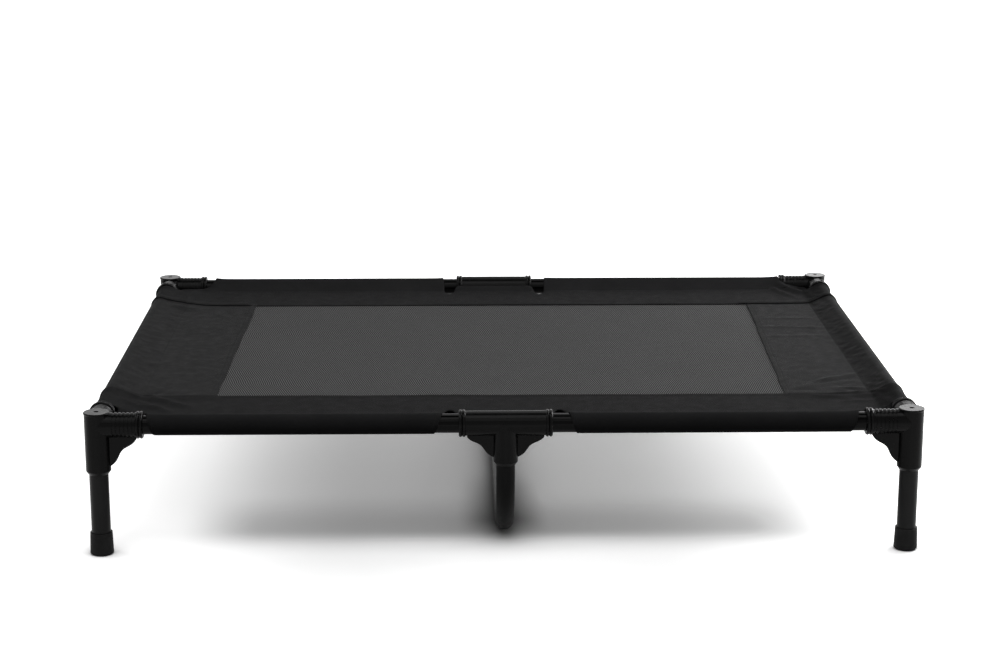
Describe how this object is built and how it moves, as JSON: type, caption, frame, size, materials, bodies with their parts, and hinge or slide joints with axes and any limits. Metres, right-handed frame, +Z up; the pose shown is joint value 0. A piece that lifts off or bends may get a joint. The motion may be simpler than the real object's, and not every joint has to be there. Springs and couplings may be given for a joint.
{
  "type": "raised dog cot",
  "caption": "Raised dog cot: a sewn cover with a mesh centre on a tube frame with moulded corner and tee connectors, push-in legs on rubber feet and a bent centre support.",
  "frame": {"origin": "on the floor under the centre of the cot", "axes": "+X along the length to the right, +Y across the width to the rear, +Z up"},
  "size_m": [1.2202, 0.9202, 0.2151],
  "materials": {
    "mesh": "woven coated-yarn mesh, dark grey",
    "cloth": "matt black woven cloth",
    "moulded_plastic": "black moulded plastic, satin",
    "coated_tube": "black gloss powder coat on steel tube",
    "rubber": "black moulded rubber"
  },
  "bodies": {
    "frame": {"mesh_panel": "mesh", "end_panel_left": "cloth", "end_panel_right": "cloth", "side_border_front": "cloth", "side_border_rear": "cloth", "corner_front_left": "moulded_plastic", "corner_front_right": "moulded_plastic", "corner_rear_left": "moulded_plastic", "corner_rear_right": "moulded_plastic", "tee_front": "moulded_plastic", "tee_rear": "moulded_plastic", "rail_front_left": "coated_tube", "rail_front_right": "coated_tube", "rail_rear_left": "coated_tube", "rail_rear_right": "coated_tube", "rail_end_left": "coated_tube", "rail_end_right": "coated_tube"},
    "front_left_leg": {"leg_front_left": "coated_tube", "foot_front_left": "rubber"},
    "front_right_leg": {"leg_front_right": "coated_tube", "foot_front_right": "rubber"},
    "rear_left_leg": {"leg_rear_left": "coated_tube", "foot_rear_left": "rubber"},
    "rear_right_leg": {"leg_rear_right": "coated_tube", "foot_rear_right": "rubber"},
    "support": {"centre_support": "coated_tube"}
  },
  "joints": [
    {"name": "front_left_leg_pull", "type": "slide", "parent": "frame", "child": "front_left_leg", "axis": [0, 0, -1], "range_m": [0, 0.05]},
    {"name": "front_right_leg_pull", "type": "slide", "parent": "frame", "child": "front_right_leg", "axis": [0, 0, -1], "range_m": [0, 0.05]},
    {"name": "rear_left_leg_pull", "type": "slide", "parent": "frame", "child": "rear_left_leg", "axis": [0, 0, -1], "range_m": [0, 0.05]},
    {"name": "rear_right_leg_pull", "type": "slide", "parent": "frame", "child": "rear_right_leg", "axis": [0, 0, -1], "range_m": [0, 0.05]},
    {"name": "support_pull", "type": "slide", "parent": "frame", "child": "support", "axis": [0, 0, -1], "range_m": [0, 0.039]}
  ]
}
